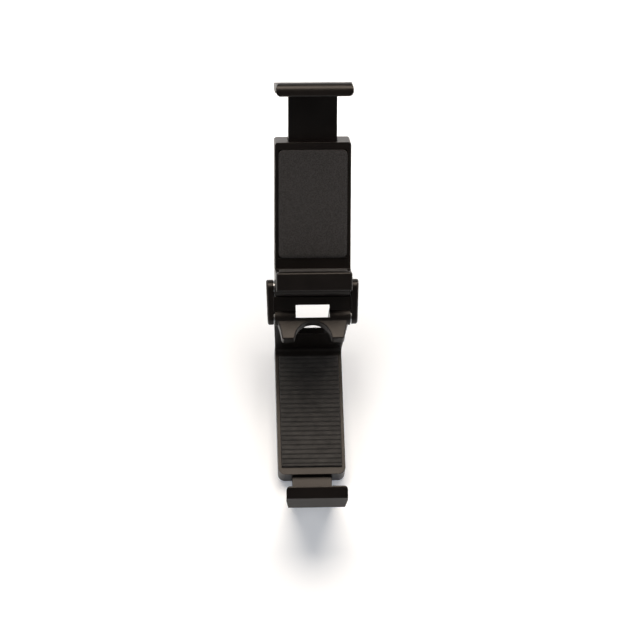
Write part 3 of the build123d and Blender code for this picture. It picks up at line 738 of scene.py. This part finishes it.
def knurl(shape, radius, low, high):
    """Draw in every other line of the rim between two heights."""
    rim = [v for v in shape.verts if low < v.co.z < high and abs(v.co.xy.length - radius) < touching]
    for vertex in rim:
        step = round(knurl_steps * vertex.co.xy.angle_signed(Vector((1, 0))) / (2 * pi))
        if step % 2:
            vertex.co.xy *= 1 - knurl_depth / radius


def socket_head(head, shank, length, bore=0.0, bore_depth=0.0):
    """Socket-head part round Z: its shank goes up from 0, its head goes down."""
    top = -hinge_head_height
    profile = [
        (0, top), (head - rim_bevel, top), (head, top + rim_bevel), (head, -rim_bevel), (head - rim_bevel, 0),
        (shank, 0), (shank, length - rim_bevel), (shank - rim_bevel, length),
    ]
    if bore:
        bottom = length - bore_depth
        profile += [(bore, length), (bore, bottom), (0, bottom - bore / 2)]
    else:
        profile += [(0, length)]
    body = turned(profile, knurl_steps)
    knurl(body, head, top + rim_bevel / 2, -rim_bevel / 2)
    socket = hexagon_prism(socket_width, top - socket_depth, top + socket_depth)
    return combined(body, socket, "DIFFERENCE")


print("socket across flats in mm:", round(socket_width / mm, 2))

# %% [markdown]
# The screws and the post come from one function. It reads the length and the head's size from the CAD
# solid, and finds the head on the side where that solid reaches further out.

# %% Hinge screws and post
hinge_screw_radius, post_radius, closing_radius = 1.25 * mm, 1.55 * mm, 0.85 * mm
post_bore, post_bore_depth = 0.9 * mm, 8.6 * mm


def laid(shape, point, side=1):
    """A part made round Z, laid along X through a point with its head on the given side."""
    shape.transform(Matrix.Translation(point) @ Matrix.Rotation(-side * pi / 2, 4, "Y"))
    return shape


def hinge_part(low, high, shank, *bore):
    """Headed part in the box of its CAD solid."""
    side = 1 if high.x > -low.x else -1
    outer, inner = (high.x, low.x) if side > 0 else (low.x, high.x)
    middle = (low + high) / 2
    neck = Vector((outer - side * hinge_head_height, middle.y, middle.z))
    part = socket_head((high.z - low.z) / 2, shank, abs(neck.x - inner), *bore)
    return laid(part, neck, side)


def hinge_parts(name, node, body, *sizes):
    """All the headed parts of one node."""
    parts = [hinge_part(low, high, *sizes) for low, high in solids_of(node, upright_place)]
    make_piece(name, joined(parts), upright_place, zinc, body, node)


hinge_parts("socket_head_hinge_screws", "lower_hinge_screws", "bracket", hinge_screw_radius)
hinge_parts("hollow_hinge_post", "upper_hinge_post", "arm", post_radius, post_bore, post_bore_depth)
hinge_parts("post_closing_screw", "upper_hinge_screw", "arm", closing_radius)

# %% [markdown]
# Thin washers keep the ears from rubbing on what turns between them. They are punched from sheet, which
# rounds their edges, so a plain section is spun and its edges are beveled.

# %% Washers
washer_round = 0.1 * mm
lower_washer_bore, upper_washer_bore = 1.3 * mm, 1.6 * mm


def punched_washer(low, high, bore):
    """Washer along X with its punched edges rounded."""
    outer = (high.z - low.z) / 2
    half = (high.x - low.x) / 2
    washer = turned(((bore, -half), (outer, -half), (outer, half), (bore, half), (bore, -half)))
    round_hard_edges(washer, washer_round)
    return laid(washer, (low + high) / 2)


def washers(name, node, body, bore):
    """Both washers of a hinge."""
    pair = [punched_washer(low, high, bore) for low, high in solids_of(node, upright_place)]
    make_piece(name, joined(pair), upright_place, zinc, body, node)


washers("lower_punched_washers", "lower_hinge_washers", "bracket", lower_washer_bore)
washers("upper_punched_washers", "upper_hinge_washers", "arm", upper_washer_bore)

# %% [markdown]
# The nuts sit in pockets on the window side of the knuckles, so their end faces show. A real nut is
# chamfered by turning its corners off. That is the meeting volume of the hexagon and a turned barrel
# with slanted shoulders, and a Boolean gives just that.

# %% Chamfered nuts
nut_chamfer = 0.35 * mm


def corner_barrel(low, high):
    """Barrel along X that turns off the corners of a nut in a box."""
    half = (high.x - low.x) / 2
    corner = max(high.y - low.y, high.z - low.z) / 2
    flat = corner * cos(pi / hexagon)
    wide, shoulder = corner + nut_chamfer, half - 2 * nut_chamfer
    profile = ((0, -half), (flat, -half), (wide, -shoulder), (wide, shoulder), (flat, half), (0, half))
    return laid(turned(profile), (low + high) / 2)


def chamfered_nuts(name, node, body):
    """The CAD nuts with their corners turned off."""
    barrels = [corner_barrel(low, high) for low, high in solids_of(node, upright_place)]
    nuts = combined(merged_copy(node, upright_place), joined(barrels), "INTERSECT")
    make_piece(name, nuts, upright_place, zinc, body, node)


chamfered_nuts("chamfered_hinge_nuts", "lower_hinge_nuts", "bracket")

# %% [markdown]
# The springs are tension coils. Spin with a rise at every step makes the coil from a circle of wire, and
# more spins bend the wire up into the leg and round the post. A curve with a bevel would do too, but the
# spins give rings of vertices that need no conversion. A spring looks the same upside down, so its upper
# half is enough here.

# %% Bending wire
wire_sides = 8
coil_steps = 16
bend_steps, loop_steps = 5, 15
loop_angle = radians(235)
leg_share = 0.9      # of the coil's radius


def verts_in(items):
    """The vertices among some mesh elements."""
    return [item for item in items if isinstance(item, bmesh.types.BMVert)]


def edges_in(items):
    """The edges among some mesh elements."""
    return [item for item in items if isinstance(item, bmesh.types.BMEdge)]


def bent_on(shape, ring, centre, axis, angle, steps, rise=0.0):
    """Sweep the wire's last ring round an axis, with a rise at every step, and give the new one."""
    made = bmesh.ops.spin(
        shape, geom=ring, cent=centre, axis=axis, dvec=(0, 0, rise), angle=angle, steps=steps
    )
    return verts_in(made["geom_last"]) + edges_in(made["geom_last"])


def half_spring(length, coil_radius, wire_radius, turns):
    """Upper half of a coil round Z, with its leg and its loop. The loop's middle is length / 2 up."""
    shape = bmesh.new()
    bend = 2 * wire_radius
    leg = coil_radius * leg_share
    top = length / 2 - leg - bend
    rise = top / (turns / 2)
    start = Matrix.Translation((coil_radius, 0, 0)) @ Matrix.Rotation(pi / 2, 4, "X")
    circle = bmesh.ops.create_circle(shape, segments=wire_sides, radius=wire_radius, matrix=start)["verts"]
    ring = circle + shape.edges[:]
    steps = round(turns / 2 * coil_steps)
    ring = bent_on(shape, ring, (0, 0, 0), (0, 0, 1), pi * turns, steps, rise / coil_steps)
    ring = bent_on(shape, ring, (coil_radius, 0, top + bend), (1, 0, 0), pi / 2, bend_steps)
    raised = verts_in(bmesh.ops.extrude_edge_only(shape, edges=edges_in(ring))["geom"])
    bmesh.ops.translate(shape, verts=raised, vec=(0, 0, leg))
    ring = raised + [edge for edge in shape.edges if set(raised).issuperset(edge.verts)]
    ring = bent_on(shape, ring, (0, bend, length / 2), (0, -1, 0), loop_angle, loop_steps)
    bmesh.ops.contextual_create(shape, geom=edges_in(ring))
    return shape


print("wire bends in", bend_steps, "steps, and round a post in", loop_steps)

# %% [markdown]
# A second half, turned over, completes each spring.

# %% Coil springs
clamp_wire, clamp_coils = 0.25 * mm, 16
hook_wire, hook_coils = 0.2 * mm, 12


def whole_spring(low, high, wire_radius, turns):
    """Spring in the box of its CAD solid, lying along Y."""
    coil_radius = (high.x - low.x) / 2 - wire_radius
    length = high.y - low.y - 2 * coil_radius - 2 * wire_radius
    upper = half_spring(length, coil_radius, wire_radius, turns)
    lower = half_spring(length, coil_radius, wire_radius, turns)
    bmesh.ops.rotate(lower, cent=(0, 0, 0), matrix=Matrix.Rotation(pi, 3, "X"), verts=lower.verts)
    spring = joined([upper, lower])
    spring.transform(Matrix.Translation((low + high) / 2) @ Matrix.Rotation(-pi / 2, 4, "X"))
    return spring


def stretching_springs(name, node, place, wire_radius, turns):
    """Springs of one node, on no body, made once where they lie."""
    boxes = solids_of(node, place)
    springs = [whole_spring(low, high, wire_radius, turns) for low, high in boxes]
    piece = make_piece(name, joined(springs), place, wire, None, node)
    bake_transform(piece)


stretching_springs(
    "coiled_clamp_springs", "clamp_springs", clamp_place, clamp_wire, clamp_coils
)
stretching_springs(
    "coiled_hook_spring", "hook_spring", upright_place, hook_wire, hook_coils
)

# %% [markdown]
# The floor is pale paper that takes the soft shadow. It glows faintly and fades into white away from the
# object, but only for rays that come from the camera or from a mirroring surface. So the picture gets a
# white ground and a pale shadow, while the matt light on the object stays that of the lamps.

# %% Floor
white = (1.0, 1.0, 1.0)
paper_colour = (0.88, 0.92, 0.96)
paper_glow = (0.14, 0.15, 0.17)
paper_roughness = 0.9
fade_start, fade_end = 0.16, 0.42
floor_size = 6.0


def floor_paper():
    """White paper that fades into plain white away from the middle, for the eye only."""
    material, tree, shader = new_finish("floor_paper")
    path = add_node(tree, "ShaderNodeLightPath").outputs
    seen = computed(tree, "MAXIMUM", path["Is Camera Ray"], path["Is Glossy Ray"])
    distance = add_node(tree, "ShaderNodeVectorMath", {"operation": "LENGTH"}, _0=object_place(tree))
    far = spread(tree, distance.outputs["Value"], fade_start, fade_end)
    fill(
        tree, shader,
        Base_Color=paper_colour,
        Roughness=paper_roughness,
        Specular_IOR_Level=0.0,
        Emission_Color=paper_glow,
        Emission_Strength=seen,
    )
    plain = add_node(tree, "ShaderNodeEmission", Color=white, Strength=1.0)
    blend = add_node(
        tree, "ShaderNodeMixShader", _0=computed(tree, "MULTIPLY", far, seen), _1=shader.outputs["BSDF"],
        _2=plain.outputs["Emission"],
    )
    fill(tree, tree.nodes["Material Output"], Surface=blend.outputs["Shader"])
    return material


def pale_floor(level):
    """Wide floor at the height of the lowest point."""
    shape = bmesh.new()
    bmesh.ops.create_grid(shape, x_segments=1, y_segments=1, size=floor_size / 2)
    bmesh.ops.translate(shape, vec=(0, 0, level), verts=shape.verts)
    mesh = bpy.data.meshes.new("floor")
    shape.to_mesh(mesh)
    shape.free()
    floor = bpy.data.objects.new("floor", mesh)
    bpy.context.scene.collection.objects.link(floor)
    mesh.materials.append(floor_paper())


pale_floor(cad_box[0].z)
print("floor at", round(cad_box[0].z / mm, 2), "mm")

# %% [markdown]
# The surround is what the sides of the object mirror: white at the horizon and dim overhead, as in a room
# with a dark ceiling. For the camera alone it is white all over, which hides where the floor ends.

# %% Surround
ceiling_grey = (0.05, 0.047, 0.045)
horizon_range = (0.08, 0.4)      # height of a ray's direction, from white to grey


def surround():
    """World that fades from white at the horizon to grey overhead, and is white for the camera."""
    world = bpy.data.worlds.new("studio")
    bpy.context.scene.world = world
    world.use_nodes = True
    tree = world.node_tree
    direction = add_node(tree, "ShaderNodeTexCoord").outputs["Generated"]
    height = add_node(tree, "ShaderNodeSeparateXYZ", Vector=direction).outputs["Z"]
    studio = mixed(tree, spread(tree, height, *horizon_range), white, ceiling_grey)
    seen = add_node(tree, "ShaderNodeLightPath").outputs["Is Camera Ray"]
    fill(tree, tree.nodes["Background"], Color=mixed(tree, seen, studio, white), Strength=1.0)


surround()
print("surround from", white, "to", ceiling_grey)

# %% [markdown]
# A black object is drawn by what it mirrors. One wide warm lamp stands high behind it, where its level
# faces mirror it towards the camera, and two low side lamps model its flanks.

# %% Lamps
turning_point = Vector((0, 0, 40 * mm))
warm, neutral = (1.0, 0.88, 0.76), (1.0, 0.96, 0.93)


def area_lamp(name, direction, distance, width, height, power, colour):
    """Rectangular soft lamp that looks at the object from a direction."""
    data = bpy.data.lights.new(name, "AREA")
    data.shape = "RECTANGLE"
    data.size, data.size_y = width, height
    data.energy = power
    data.color = colour
    lamp = bpy.data.objects.new(name, data)
    bpy.context.scene.collection.objects.link(lamp)
    away = Vector(direction).normalized()
    lamp.location = turning_point + away * distance
    lamp.rotation_euler = away.to_track_quat("Z", "Y").to_euler()
    print(f"{name}: {power} W, {width} x {height} m")


area_lamp("back_softbox", (0, 0.42, 0.91), 0.9, 0.8, 0.5, 10.5, warm)
area_lamp("left_lamp", (-0.9, -0.1, 0.6), 1.2, 0.6, 0.8, 4.0, neutral)
area_lamp("right_lamp", (0.9, -0.1, 0.6), 1.2, 0.6, 0.8, 4.0, neutral)

# %% [markdown]
# The camera stands high in front, about 69 degrees above the floor, and far off with a long lens, so the
# jaws look nearly as wide as the hook. It stands a little to the left and is rolled a little. These numbers
# come from fitting the edges of the object to where they lie in the picture. The last two say how far the
# picture's middle lies from the point that the other angles turn about.

# %% Camera and colour management
camera_side = radians(-8.2)
camera_rise = radians(68.59)
camera_roll = radians(6.9)
camera_distance = 1.111
camera_lens, sensor_width = 153.0, 36.0
middle_right, middle_up = 2.75 * mm, 8.14 * mm


def camera_matrix():
    """Place and turn of the camera."""
    level = Vector((cos(camera_side), sin(camera_side), 0))
    flat = cos(camera_rise)
    back = Vector((sin(camera_side) * flat, -cos(camera_side) * flat, sin(camera_rise)))
    upward = back.cross(level)
    right = level * cos(camera_roll) + upward * sin(camera_roll)
    up = upward * cos(camera_roll) - level * sin(camera_roll)
    place = turning_point + back * camera_distance
    back = (place - turning_point - right * middle_right - up * middle_up).normalized()
    right = up.cross(back).normalized()
    turn = Matrix((right, back.cross(right), back)).transposed().to_4x4()
    return Matrix.Translation(place) @ turn


camera_data = bpy.data.cameras.new("camera")
camera_data.sensor_width = sensor_width
camera_data.lens = camera_lens
camera = bpy.data.objects.new("camera", camera_data)
bpy.context.scene.collection.objects.link(camera)
camera.matrix_world = camera_matrix()
bpy.context.scene.camera = camera
bpy.context.scene.view_settings.view_transform = "Standard"
print("camera stands at", [round(value, 4) for value in camera.location])
